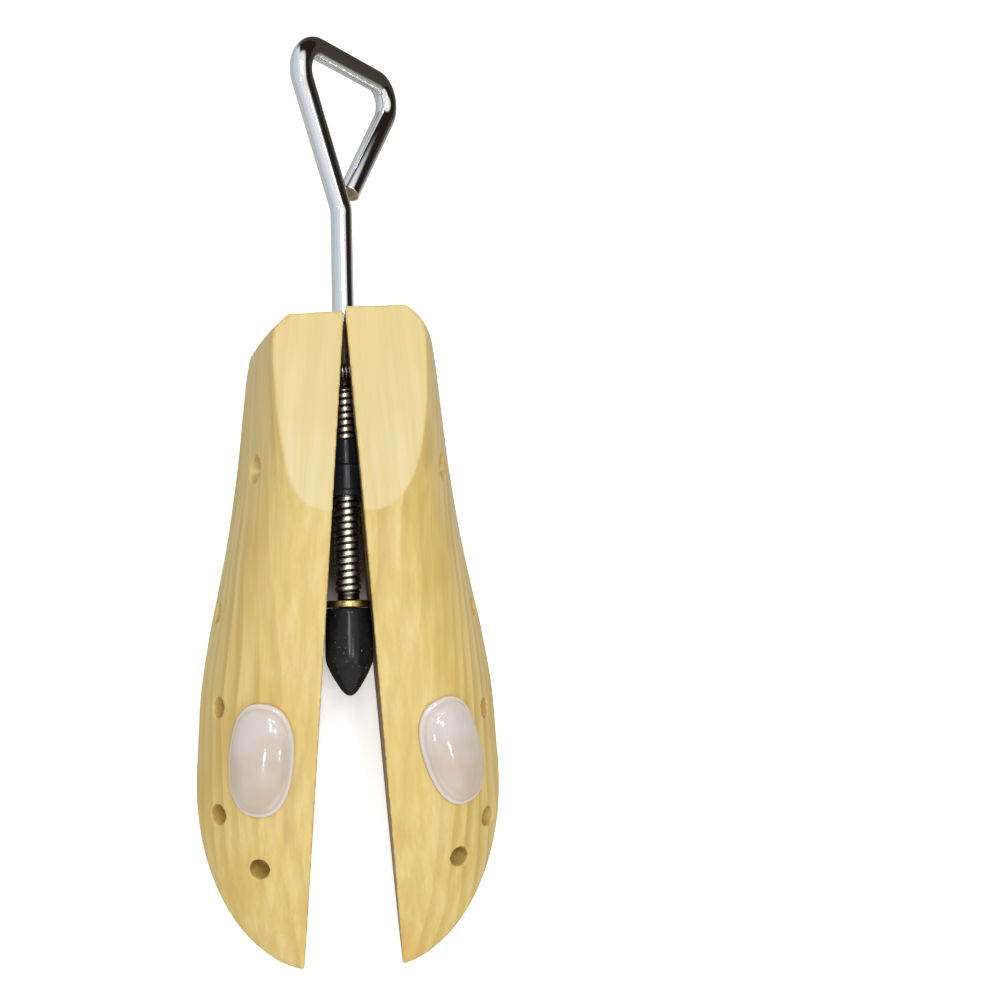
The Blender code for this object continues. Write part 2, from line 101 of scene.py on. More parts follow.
# Screw, handle, nut, washer and cone
SHANK_R = 0.0040
THREAD_R = 0.00475
ROOT_R = 0.00380
PITCH = 0.0025
# The shank's painted shade reaches from the thread back to this distance from the heel end
SHADE_PAINT_TO = 0.0010
THREAD_START = 0.0240
THREAD_END = 0.1010
SHOULDER = 0.1024
JOURNAL_R = 0.0030
JOURNAL_END = 0.1240
GROOVE = (0.1180, 0.1210)
GROOVE_R = 0.0020
BEND_OUT = 0.0420
HANDLE_H = 0.0535
HANDLE_HALF = 0.0334
HANDLE_TURN = math.radians(52.2)
HANDLE_UP = math.radians(5.65)
HANDLE_ASIDE = math.radians(2.72)
HANDLE_FREE = 0.875
BEND_R = 0.0087
TRAVEL = 0.03625
NUT_FROM = 0.0446
NUT_STEP = 0.0538
NUT_FLANGE = 0.0630
NUT_TO = 0.0652
NUT_R = (0.0064, 0.0076, 0.0084)
TRUNNION_D = 0.0570
TRUNNION_R = 0.0034
TRUNNION_TIP = 0.0215
WASHER = (0.1027, 0.1051)
WASHER_R = 0.0080
CHANNEL_SLACK = 0.0006
CONE_PIN_HALF = 0.0074
CONE_PIN_R = 0.0010
CONE_PIN_DROP = 0.0033
CONE = ((0.1054, 0.0076), (0.1066, 0.0080), (0.1120, 0.00835), (0.1180, 0.0086),
        (0.1223, 0.00865), (0.1250, 0.0083), (0.1270, 0.0075), (0.1293, 0.0064),
        (0.1322, 0.0047), (0.1348, 0.0030), (0.1362, 0.0017), (0.1368, 0.0008))

# Spring across the heel
SPRING_D = 0.0220
SPRING_Z = 0.0406
SPRING_PIN_W = 0.0165
SPRING_PIN_R = 0.0013
SPRING_PIN_TOP = 0.0456
SPRING_BACK = 0.0007
SPRING_R = 0.0026
WIRE_R = 0.0005
HOOK_R = 0.0022
COIL_TURNS = 18
COIL_TO_PIN = 0.0062

# Plugs (side, w, d, turn in degrees) and spare peg holes (side, w, d)
PEG_R = 0.0034
HOLE_R = 0.0037
HOLE_DEPTH = 0.0120
PLUG_HALF = (0.0120, 0.0205)
PLUG_TALL = 0.0062
PLUGS = {"left_plug": (-1, 0.0201, 0.1604, -4.0), "right_plug": (1, 0.0252, 0.1600, 18.0)}
SPARE_HOLES = ((-1, 0.0368, 0.1429), (-1, 0.0345, 0.1814), (-1, 0.0184, 0.1998),
               (-1, 0.0395, 0.1087), (1, 0.0242, 0.1995), (1, 0.0395, 0.1469),
               (1, 0.0368, 0.1870), (1, 0.0395, 0.1087))
GAP = 0.0003


# ---------------------------------------------------------------- shape of a half

def smooth_curve(table, x):
    """Monotone cubic through the table's points."""
    xs = np.array([p[0] for p in table])
    ys = np.array([p[1] for p in table])
    x = min(max(x, xs[0]), xs[-1])
    step = np.diff(xs)
    slope = np.diff(ys) / step
    tangent = np.zeros(len(xs))
    tangent[0] = slope[0]
    tangent[-1] = slope[-1]
    for i in range(1, len(xs) - 1):
        if slope[i - 1] * slope[i] > 0:
            tangent[i] = 2 / (1 / slope[i - 1] + 1 / slope[i])
    i = int(min(max(np.searchsorted(xs, x) - 1, 0), len(step) - 1))
    t = (x - xs[i]) / step[i]
    a = (1 + 2 * t) * (1 - t) ** 2
    b = t * (1 - t) ** 2
    c = t * t * (3 - 2 * t)
    e = t * t * (t - 1)
    return float(a * ys[i] + b * step[i] * tangent[i] + c * ys[i + 1] + e * step[i] * tangent[i + 1])


def place(side, w, d, z):
    """A point of the left (-1) or right (+1) half, from its closed position to its spread one."""
    c = math.cos(side * SWING)
    s = math.sin(side * SWING)
    x = side * w
    return Vector((c * x + s * d, s * x - c * d + HEEL_Y, z))


def nose_factor(d):
    if d <= NOSE_START:
        return 1.0
    t = (d - NOSE_START) / (LENGTH - NOSE_START)
    return math.sqrt(max(1 - t * t, 0.0))


def half_width(d):
    if d <= TOE_START:
        return smooth_curve(WIDTHS, d)
    t = (d - TOE_START) / (LENGTH - TOE_START)
    return WIDTHS[-1][1] * max(1 - t ** 2.2, 0.0) ** 0.6


def crown(d):
    return TOE_Z + (smooth_curve(CROWNS, d) - TOE_Z) * nose_factor(d)


def sole(d):
    t = max(d - SOLE_RISE_START, 0.0) / (LENGTH - SOLE_RISE_START)
    return TOE_Z - (TOE_Z - SOLE_RISE * t * t) * nose_factor(d)


def section_facts(d, side=1):
    """Half-width, sole, crown, height of the widest line, lean and squareness at d."""
    bottom = sole(d)
    top = crown(d)
    foot = bottom + min(0.004, 0.35 * (top - bottom))
    lean = LEAN + WAIST_LEAN * min(d / WAIST_D, 1.0)
    if side < 0:
        t = min(max((LEFT_LEAN_END - d) / LEFT_LEAN_FADE, 0.0), 1.0)
        lean += LEFT_LEAN * t * t * (3 - 2 * t)
    squareness = 3.2 - 1.0 * max(0.0, min((d - 0.15) / 0.08, 1.0))
    return half_width(d), bottom, top, foot, lean, squareness


def surface_point(facts, q):
    """(w, z) on the side and top, q running from 0 at the widest line to 1 at the crown."""
    width, _, top, foot, lean, n = facts
    across = max(1 - q ** n, 0.0) ** (1 / n) * (1 - lean * q)
    return width * across, foot + (top - foot) * q


def surface_height(w, d):
    facts = section_facts(d)
    low = 0.0
    high = 1.0
    for _ in range(26):
        middle = (low + high) / 2
        if surface_point(facts, middle)[0] > w:
            low = middle
        else:
            high = middle
    return min(surface_point(facts, (low + high) / 2)[1], FACET_Z)


def surface_normal(w, d):
    step = 0.0005
    across = (surface_height(w + step, d) - surface_height(w - step, d)) / (2 * step)
    along = (surface_height(w, d + step) - surface_height(w, d - step)) / (2 * step)
    return Vector((-across, -along, 1.0)).normalized()


def section(side, d):
    facts = section_facts(d, side)
    width, bottom, top, foot, _, _ = facts
    edge = min(0.005, 0.4 * width)
    points = [(FACE_GAP, bottom)]
    for k in range(1, 6):
        points.append(((width - edge) * k / 6, bottom))
    for k in range(8):
        a = math.radians(90 * k / 8)
        points.append((width - edge + edge * math.sin(a), foot - (foot - bottom) * math.cos(a)))
    for k in range(44):
        q = math.sin(math.radians(90 * k / 44)) ** 1.15
        points.append(surface_point(facts, q))
    points.append((FACE_GAP, top))
    return [(max(w, FACE_GAP), z) for w, z in points]


def stations():
    heel = [0.0, 0.0005, 0.001, 0.002, 0.003, 0.004, 0.006, 0.008]
    middle = list(np.arange(0.010, 0.196, 0.002))
    nose = [LENGTH - 0.0405 * (1 - math.sin(math.radians(90 * k / 34))) for k in range(34)]
    return heel + middle + nose


# ---------------------------------------------------------------- mesh helpers

def finish(name, bm, mats):
    bmesh.ops.recalc_face_normals(bm, faces=bm.faces)
    mesh = bpy.data.meshes.new(name)
    bm.to_mesh(mesh)
    bm.free()
    obj = bpy.data.objects.new(name, mesh)
    bpy.context.collection.objects.link(obj)
    for mat in mats:
        mesh.materials.append(mat)
    for face in mesh.polygons:
        face.use_smooth = True
    return obj


def loft_into(bm, rings, close_ends=True):
    rows = [[bm.verts.new(p) for p in ring] for ring in rings]
    count = len(rings[0])
    for first, second in zip(rows, rows[1:]):
        for k in range(count):
            n = (k + 1) % count
            bm.faces.new((first[k], first[n], second[n], second[k]))
    if close_ends:
        bm.faces.new(rows[0])
        bm.faces.new(list(reversed(rows[-1])))
    return rows


def circle(centre, first, second, radius, sides):
    ring = []
    for k in range(sides):
        a = 2 * math.pi * k / sides
        ring.append(centre + first * (radius * math.cos(a)) + second * (radius * math.sin(a)))
    return ring


def cross_axes(direction):
    up = Vector((0, 0, 1)) if abs(direction.z) < 0.9 else Vector((1, 0, 0))
    first = direction.cross(up).normalized()
    return first, direction.cross(first).normalized()


def rod_into(bm, start, end, radius, sides):
    first, second = cross_axes((end - start).normalized())
    loft_into(bm, [circle(start, first, second, radius, sides),
                   circle(end, first, second, radius, sides)])


def turned_rings(profile, sides):
    """Rings about the screw's axis for (d, radius) points."""
    rings = []
    for d, radius in profile:
        ring = []
        for k in range(sides):
            a = 2 * math.pi * k / sides
            ring.append(Vector((radius * math.cos(a), HEEL_Y - d, AXIS_Z + radius * math.sin(a))))
        rings.append(ring)
    return rings


def softened(profile, radius):
    """Rounds the inner corners of an open (d, r) outline."""
    steps = 3
    points = [Vector(p) for p in profile]
    out = [profile[0]]
    for before, here, after in zip(points, points[1:], points[2:]):
        a = before - here
        b = after - here
        cut = min(radius, a.length * 0.45, b.length * 0.45)
        start = here + a.normalized() * cut
        stop = here + b.normalized() * cut
        for k in range(steps + 1):
            t = k / steps
            p = start * (1 - t) ** 2 + here * (2 * t * (1 - t)) + stop * t * t
            out.append((p.x, p.y))
    out.append(profile[-1])
    return out


def baked(obj):
    """Applies the object's modifiers to its mesh."""
    deps = bpy.context.evaluated_depsgraph_get()
    mesh = bpy.data.meshes.new_from_object(obj.evaluated_get(deps), depsgraph=deps)
    obj.modifiers.clear()
    obj.data = mesh
    return obj


# ---------------------------------------------------------------- wooden halves

def cone_radius(d):
    if d < WASHER[0] or d > CONE[-1][0]:
        return 0.0
    if d < CONE[0][0]:
        return WASHER_R
    return float(np.interp(d, [p[0] for p in CONE], [p[1] for p in CONE]))


def channel_depth(d):
    """Half-depth that lets the cone pass through its whole travel while the halves swing."""
    most = 0.0
    for back in np.linspace(0.0, TRAVEL, 60):
        angle = SWING * (1 - back / TRAVEL)
        radius = cone_radius(d + back)
        if radius > 0:
            most = max(most, radius - d * math.sin(angle))
    return most + CHANNEL_SLACK


def core_cutter(side):
    """Screw bore, nut pocket and cone run in one piece, from (d, radius, depth) rings."""
    rings = []
    plan = [(-0.006, SCREW_BORE_R, SCREW_BORE_R),
            (NUT_POCKET[0] - 0.0002, SCREW_BORE_R, SCREW_BORE_R),
            (NUT_POCKET[0], NUT_POCKET_R, NUT_POCKET_R),
            (NUT_POCKET[1], NUT_POCKET_R, NUT_POCKET_R)]
    for d in np.linspace(0.068, 0.140, 49):
        depth = channel_depth(float(d))
        if depth > CHANNEL_SLACK:
            plan.append((float(d), CONE_RUN_R, depth))
    plan.append((plan[-1][0] + 0.003, CONE_RUN_R, CHANNEL_SLACK))
    plan.append((plan[-1][0] + 0.003, CONE_RUN_R, -0.0004))
    for d, radius, depth in plan:
        ring = []
        for k in range(48):
            a = 2 * math.pi * (k + 0.5) / 48
            ring.append(place(side, depth - radius + radius * math.cos(a), d,
                              AXIS_Z + radius * math.sin(a)))
        rings.append(ring)
    bm = bmesh.new()
    loft_into(bm, rings)
    return finish("core_cut", bm, [])


def facet_cutter(side):
    """Everything above the flat at the top of the heel."""
    bm = bmesh.new()
    ring = [(-0.01, -0.02), (0.06, -0.02), (0.06, 0.09), (-0.01, 0.09)]
    loft_into(bm, [[place(side, w, d, z) for w, d in ring] for z in (FACET_Z, 0.095)])
    return finish("facet_cut", bm, [])


def cross_cutter(side):
    """Bores for the cross pin, right through, and for the heel spring."""
    bm = bmesh.new()
    rod_into(bm, place(side, -CUT_OUT, TRUNNION_D, AXIS_Z),
             place(side, 0.060, TRUNNION_D, AXIS_Z), CROSS_BORE_R, 40)
    rod_into(bm, place(side, -CUT_OUT, SPRING_D - SPRING_BACK, SPRING_Z),
             place(side, SPRING_BORE_END, SPRING_D - SPRING_BACK, SPRING_Z), SPRING_BORE_R, 32)
    return finish("cross_cut", bm, [])


def plug_frame(side, w, d, turn=0.0):
    """Seat point, outward normal and the plug's long and short directions, spread position."""
    seat = place(side, w, d, surface_height(w, d))
    n = surface_normal(w, d)
    tip = place(side, w + n.x * 0.01, d + n.y * 0.01, surface_height(w, d) + n.z * 0.01)
    normal = (tip - seat).normalized()
    ahead = place(side, w, d - 0.01, 0.0) - place(side, w, d, 0.0)
    ahead = (ahead - normal * ahead.dot(normal)).normalized()
    across = normal.cross(ahead)
    c = math.cos(math.radians(turn))
    s = math.sin(math.radians(turn))
    return seat, normal, ahead * c + across * s, across * c - ahead * s


def vertical_cutter(side):
    """Bore for the spring's pin, from the sole, and the peg holes."""
    bm = bmesh.new()
    rod_into(bm, place(side, SPRING_PIN_W, SPRING_D, -CUT_OUT),
             place(side, SPRING_PIN_W, SPRING_D, PIN_BORE_TOP), SPRING_PIN_R + GAP, 24)
    spots = [(w, d) for s, w, d in SPARE_HOLES if s == side]
    spots += [(w, d) for s, w, d, _ in PLUGS.values() if s == side]
    for w, d in spots:
        seat, normal, _, _ = plug_frame(side, w, d)
        rod_into(bm, seat - normal * HOLE_DEPTH, seat + normal * 0.006, HOLE_R, 40)
    return finish("peg_cut", bm, [])


def build_half(name, side, mat):
    """Cut blank, then a fine even skin whose edges are sanded round."""
    rings = []
    for d in stations():
        offset, slope = HEEL_CUT[side]
        fade = max(0.0, 1 - d / HEEL_FADE)
        rings.append([place(side, w, d + (offset + w * slope) * fade, z)
                      for w, z in section(side, d)])
    bm = bmesh.new()
    loft_into(bm, rings)
    obj = finish(name, bm, [])
    tools = [facet_cutter(side), core_cutter(side), cross_cutter(side), vertical_cutter(side)]
    for tool in tools:
        mod = obj.modifiers.new(tool.name, "BOOLEAN")
        mod.operation = "DIFFERENCE"
        mod.solver = "EXACT"
        mod.object = tool
    baked(obj)
    for tool in tools:
        bpy.data.objects.remove(tool, do_unlink=True)
    skin = obj.modifiers.new("skin", "REMESH")
    skin.mode = "VOXEL"
    skin.voxel_size = VOXEL * 1.0
    skin.use_smooth_shade = True
    sanded = obj.modifiers.new("sanded", "SMOOTH")
    sanded.factor = 0.5
    sanded.iterations = 4
    baked(obj)
    obj.data.materials.clear()
    obj.data.materials.append(mat)
    for face in obj.data.polygons:
        face.use_smooth = True
    return obj


# ---------------------------------------------------------------- screw and handle

def thread_rows(bm, start, end, root, crest, sides):
    """Helical rolled thread between two flat ends."""
    turns = int(math.ceil((end - start) / PITCH)) + 1
    shape = ((0.0, 0.0), (0.05, 0.10), (0.10, 0.60), (0.15, 0.92), (0.21, 1.0), (0.34, 1.0),
             (0.47, 1.0), (0.60, 1.0), (0.73, 1.0), (0.79, 0.92), (0.84, 0.60), (0.89, 0.10))
    rows = []
    for j in range(turns * len(shape) + 1):
        share, high = shape[j % len(shape)]
        row = []
        for i in range(sides + 1):
            d = start + PITCH * (j // len(shape) + share + i / sides - 1)
            d = min(max(d, start), end)
            ramp = min((d - start) / PITCH, (end - d) / PITCH, 1.0)
            radius = root + (crest - root) * high * ramp
            a = 2 * math.pi * i / sides
            row.append(bm.verts.new((radius * math.cos(a), HEEL_Y - d,
                                     AXIS_Z + radius * math.sin(a))))
        rows.append(row)
    for first, second in zip(rows, rows[1:]):
        for i in range(sides):
            bm.faces.new((first[i], first[i + 1], second[i + 1], second[i]))


def chain_into(bm, rings, cap):
    last = [[bm.verts.new(p) for p in ring] for ring in rings]
    sides = len(rings[0])
    faces = []
    for first, second in zip(last, last[1:]):
        for i in range(sides):
            n = (i + 1) % sides
            faces.append(bm.faces.new((first[i], first[n], second[n], second[i])))
    if cap:
        faces.append(bm.faces.new(last[-1]))
    return faces


def rounded_path(points, radius, steps):
    """Straight runs through the points, each inner corner rounded to the radius."""
    path = [points[0]]
    for before, here, after in zip(points, points[1:], points[2:]):
        a = (before - here).normalized()
        b = (after - here).normalized()
        half = a.angle(b) / 2
        reach = radius / math.tan(half)
        centre = here + (a + b).normalized() * (radius / math.sin(half))
        start = here + a * reach - centre
        stop = here + b * reach - centre
        sweep = start.angle(stop)
        for k in range(steps + 1):
            t = k / steps
            path.append(centre + (start * math.sin((1 - t) * sweep)
                                  + stop * math.sin(t * sweep)) / math.sin(sweep))
    path.append(points[-1])
    return path


def handle_rings(sides):
    """Rings of the bent triangle, from the shank's bend to the sawn free end."""
    lateral = Vector((-math.cos(HANDLE_TURN), 0.0, math.sin(HANDLE_TURN)))
    bend = Vector((0.0, HEEL_Y + BEND_OUT, AXIS_Z))
    ahead = Vector((math.sin(HANDLE_ASIDE), math.cos(HANDLE_UP) * math.cos(HANDLE_ASIDE),
                    math.sin(HANDLE_UP)))
    near = bend + lateral * HANDLE_HALF + ahead * HANDLE_H
    far = bend - lateral * HANDLE_HALF + ahead * HANDLE_H
    free = far + (bend - far) * HANDLE_FREE
    start = Vector((0.0, HEEL_Y + 0.012, AXIS_Z))
    path = rounded_path([start, bend, near, far, free], BEND_R, 18)
    normal = lateral.cross(ahead).normalized()
    rings = []
    for i, point in enumerate(path):
        ahead = path[min(i + 1, len(path) - 1)] - path[max(i - 1, 0)]
        ahead.normalize()
        side = normal.cross(ahead).normalized()
        rounds = [(0.0, SHANK_R)]
        if i == len(path) - 1:
            rounds = [(-0.0004, SHANK_R), (-0.0001, SHANK_R - 0.0001), (0.0, SHANK_R - 0.0004)]
        for back, radius in rounds:
            ring = []
            for k in range(sides):
                a = 2 * math.pi * k / sides
                ring.append(point + ahead * back + side * (radius * math.cos(a))
                            + normal * (radius * math.sin(a)))
            rings.append(ring)
    offset = rings[0]
    best = min(range(sides), key=lambda k: (offset[k] - start - Vector((SHANK_R, 0, 0))).length)
    order = [best + k for k in range(sides)]
    step = offset[(best + 1) % sides] - start
    if step.z < 0:
        order = [best - k for k in range(sides)]
    return [[ring[k % sides] for k in order] for ring in rings]


def build_screw(mats):
    """One bent rod. Slots: bright shank and handle, oily thread with painted shade in its roots,
    sawn end, shank with painted shade.
    """
    sides = 48
    bm = bmesh.new()
    thread_rows(bm, THREAD_START, THREAD_END, ROOT_R, THREAD_R, sides)
    tail = softened([(THREAD_END, ROOT_R), (THREAD_END + 0.0006, SHANK_R), (SHOULDER, SHANK_R),
                     (SHOULDER, JOURNAL_R), (GROOVE[0], JOURNAL_R), (GROOVE[0], GROOVE_R),
                     (GROOVE[1], GROOVE_R), (GROOVE[1], JOURNAL_R), (JOURNAL_END, JOURNAL_R),
                     (JOURNAL_END, 0.0005)], 0.0003)
    chain_into(bm, turned_rings(tail, sides), True)
    for face in bm.faces:
        face.material_index = 1
    shank = turned_rings([(THREAD_START, ROOT_R), (THREAD_START - 0.0003, ROOT_R + 0.0002),
                          (THREAD_START - 0.0008, SHANK_R), (SHADE_PAINT_TO, SHANK_R),
                          (-0.010, SHANK_R)], sides)
    faces = chain_into(bm, shank + handle_rings(sides), True)
    # Slot 3: painted shade on the shank inside the heel
    for face in faces[:3 * sides]:
        face.material_index = 3
    faces[-1].material_index = 2
    for face in faces[-1 - sides:-1]:
        face.material_index = 2
    bmesh.ops.remove_doubles(bm, verts=bm.verts, dist=0.00002)
    bmesh.ops.dissolve_degenerate(bm, edges=bm.edges, dist=0.00001)
    return finish("bent_screw", bm, mats)


# ---------------------------------------------------------------- nut, cone and pins

def build_nut(mat):
    sides = 96
    outline = softened([(NUT_FROM, ROOT_R + 0.0016), (NUT_FROM, NUT_R[0]), (NUT_STEP, NUT_R[0]),
                        (NUT_STEP, NUT_R[1]), (NUT_FLANGE, NUT_R[1]), (NUT_FLANGE, NUT_R[2]),
                        (NUT_TO, NUT_R[2]), (NUT_TO, ROOT_R + 0.0016)], 0.00045)
    bm = bmesh.new()
    rows = loft_into(bm, turned_rings(outline, sides), False)
    bore = turned_rings([(NUT_TO - 0.0002 - (NUT_TO - NUT_FROM - 0.0004) * k / 8, THREAD_R + GAP)
                         for k in range(9)], sides)
    chain = [rows[-1]] + [[bm.verts.new(p) for p in ring] for ring in bore] + [rows[0]]
    for first, second in zip(chain, chain[1:]):
        for k in range(sides):
            n = (k + 1) % sides
            bm.faces.new((first[k], first[n], second[n], second[k]))
    return finish("nut_sleeve", bm, [mat])


def build_trunnion(name, side, mat):
    profile = softened([(0.0063, 0.0002), (0.0063, 0.0019), (NUT_R[1] + 0.0003, 0.0019),
                        (NUT_R[1] + 0.0003, TRUNNION_R), (TRUNNION_TIP, TRUNNION_R),
                        (TRUNNION_TIP, 0.0004)], 0.0006)
    rings = []
    for x, radius in profile:
        rings.append(circle(Vector((side * x, HEEL_Y - TRUNNION_D, AXIS_Z)),
                            Vector((0, 1, 0)), Vector((0, 0, 1)), radius, 48))
    bm = bmesh.new()
    loft_into(bm, rings)
    return finish(name, bm, [mat])


def build_washer(mat):
    sides = 96
    profile = softened([(WASHER[0], 0.0050), (WASHER[0], WASHER_R), (WASHER[1], WASHER_R),
                        (WASHER[1], 0.0050)], 0.0004)
    profile += [(WASHER[1], 0.0034), (WASHER[0], 0.0034)]
    bm = bmesh.new()
    rows = [[bm.verts.new(p) for p in ring] for ring in turned_rings(profile, sides)]
    for first, second in zip(rows, rows[1:] + rows[:1]):
        for k in range(sides):
            n = (k + 1) % sides
            bm.faces.new((first[k], first[n], second[n], second[k]))
    return finish("brass_washer", bm, [mat])


def build_cone(mat):
    """Bullet with a turned rear rim, a bore for the journal and a rounded nose."""
    sides = 96
    profile = softened([(JOURNAL_END + 0.0006, 0.0004), (JOURNAL_END + 0.0006, 0.0034),
                        (CONE[0][0] + 0.0002, 0.0034), (CONE[0][0], 0.0040),
                        (CONE[0][0], CONE[0][1])], 0.0002)
    body = [(CONE[0][0] + 0.0004, 0.0079)]
    for k in range(1, 40):
        d = CONE[1][0] + (CONE[-1][0] - CONE[1][0]) * k / 40
        body.append((d, smooth_curve(CONE, d)))
    profile += body + [(CONE[-1][0] - 0.0001, 0.0009), (CONE[-1][0], 0.0002)]
    bm = bmesh.new()
    loft_into(bm, turned_rings(profile, sides))
    return finish("bullet_cone", bm, [mat])


def build_cone_pin(mat):
    """Pin across the cone, under the journal and in its groove."""
    bm = bmesh.new()
    middle = (GROOVE[0] + GROOVE[1]) / 2
    centre = Vector((0.0, HEEL_Y - middle, AXIS_Z - CONE_PIN_DROP))
    rings = []
    edge = 0.0003
    for x, radius in ((-CONE_PIN_HALF, CONE_PIN_R - edge), (edge - CONE_PIN_HALF, CONE_PIN_R),
                      (CONE_PIN_HALF - edge, CONE_PIN_R), (CONE_PIN_HALF, CONE_PIN_R - edge)):
        rings.append(circle(centre + Vector((x, 0, 0)), Vector((0, 1, 0)), Vector((0, 0, 1)),
                            radius, 24))
    loft_into(bm, rings)
    return finish("cone_pin", bm, [mat])


def build_spring(mat):
    """Close-wound coil with a hook round each anchor pin."""
    left = place(-1, SPRING_PIN_W, SPRING_D, SPRING_Z)
    right = place(1, SPRING_PIN_W, SPRING_D, SPRING_Z)
    reach = right.x - COIL_TO_PIN
    hook = HOOK_R
    path = []
    for k in range(24):
        a = math.radians(-150 + 300 * k / 23)
        path.append(left + Vector((-hook * math.cos(a), hook * math.sin(a), 0)))
    path.append(Vector((-reach - 0.0006, left.y + 0.0008, SPRING_Z)))
    steps = COIL_TURNS * 24
    for k in range(steps + 1):
        a = 2 * math.pi * k / 24
        x = -reach + 2 * reach * k / steps
        path.append(Vector((x, left.y + SPRING_R * math.cos(a), SPRING_Z + SPRING_R * math.sin(a))))
    path.append(Vector((reach + 0.0006, right.y + 0.0008, SPRING_Z)))
    for k in range(24):
        a = math.radians(150 - 300 * k / 23)
        path.append(right + Vector((hook * math.cos(a), hook * math.sin(a), 0)))
    rings = []
    first = None
    for i, point in enumerate(path):
        ahead = (path[min(i + 1, len(path) - 1)] - path[max(i - 1, 0)]).normalized()
        if first is None:
            first = cross_axes(ahead)[0]
        first = (first - ahead * first.dot(ahead)).normalized()
        rings.append(circle(point, first, ahead.cross(first), WIRE_R, 10))
    bm = bmesh.new()
    loft_into(bm, rings)
    return finish("heel_spring", bm, [mat]), left, right


def build_spring_pin(name, side, mat):
    base = place(side, SPRING_PIN_W, SPRING_D, 0.0)
    top = SPRING_PIN_TOP
    rings = []
    for z, radius in ((0.0006, 0.0010), (0.0009, SPRING_PIN_R), (top - 0.0006, SPRING_PIN_R),
                      (top - 0.0002, 0.0011), (top, 0.0007)):
        rings.append(circle(Vector((base.x, base.y, z)), Vector((1, 0, 0)), Vector((0, 1, 0)),
                            radius, 24))
    bm = bmesh.new()
    loft_into(bm, rings)
    return finish(name, bm, [mat])


# ---------------------------------------------------------------- pressure plugs

def wood_below(side, normal, point):
    """How far the wood's surface is from a point, measured along the plug's normal."""
    low = -0.012
    high = 0.004
    c = math.cos(-side * SWING)
    s = math.sin(-side * SWING)
    for _ in range(13):
        middle = (low + high) / 2
        p = point + normal * middle
        y = p.y - HEEL_Y
        w = side * (c * p.x - s * y)
        d = -(s * p.x + c * y)
        if p.z > surface_height(w, d):
            high = middle
        else:
            low = middle
    return (low + high) / 2


def terms(u, v):
    return [u ** i * v ** j for i in range(5) for j in range(5 - i)]


def seat_fit(side, seat, normal, ahead, across):
    """A quartic surface, in the plug's own plane, that follows the wood under it."""
    rows = []
    drops = []
    for share in (0.0, 0.3, 0.55, 0.8, 1.0):
        for k in range(16 if share else 1):
            a = 2 * math.pi * k / 16
            u = math.cos(a) * share
            v = math.sin(a) * share
            point = seat + ahead * (u * PLUG_HALF[1]) + across * (v * PLUG_HALF[0])
            rows.append(terms(u, v))
            drops.append(wood_below(side, normal, point))
    fit, _, _, _ = np.linalg.lstsq(np.array(rows), np.array(drops), rcond=None)
    return fit


def build_plug(name, node, mat):
    """Oval pad with a thin flat rim and a soft dome, hollow of the wood's curve underneath."""
    side, w, d, turn = PLUGS[node]
    seat, normal, ahead, across = plug_frame(side, w, d, turn)
    fit = seat_fit(side, seat, normal, ahead, across)
    sides = 96
    oval = []
    for k in range(sides):
        a = 2 * math.pi * k / sides
        u = math.copysign(abs(math.cos(a)) ** 0.82, math.cos(a))
        v = math.copysign(abs(math.sin(a)) ** 0.82, math.sin(a))
        oval.append((u, v))
    peg_end = seat - normal * (HOLE_DEPTH - 0.0015)
    rings = []
    for rise, radius in ((0.0, PEG_R - 0.0008), (0.0003, PEG_R - 0.0003), (0.001, PEG_R)):
        rings.append([peg_end + normal * rise + (ahead * u * PLUG_HALF[1] + across * v
                      * PLUG_HALF[0]).normalized() * radius for u, v in oval])
    rings.append([seat + normal * 0.0004 + (ahead * u * PLUG_HALF[1] + across * v
                  * PLUG_HALF[0]).normalized() * PEG_R for u, v in oval])
    rim = [(0.45, 0.0), (0.80, 0.0), (0.975, 0.0), (0.992, 0.00015), (1.0, 0.0005),
           (0.998, 0.0009), (0.985, 0.00125), (0.965, 0.0014), (0.935, 0.00155)]
    dome = []
    for k in range(1, 24):
        t = k / 24
        dome.append((0.915 * math.cos(math.pi / 2 * t) ** 0.86,
                     0.0016 + (PLUG_TALL - 0.0016) * math.sin(math.pi / 2 * t) ** 0.9))
    for scale, rise in rim + dome:
        ring = []
        for u, v in oval:
            p = seat + ahead * (u * scale * PLUG_HALF[1]) + across * (v * scale * PLUG_HALF[0])
            drop = float(np.dot(fit, terms(u * scale, v * scale)))
            ring.append(p + normal * (drop + GAP + rise))
        rings.append(ring)
    bm = bmesh.new()
    loft_into(bm, rings)
    return finish(name, bm, [mat])


# ---------------------------------------------------------------- materials

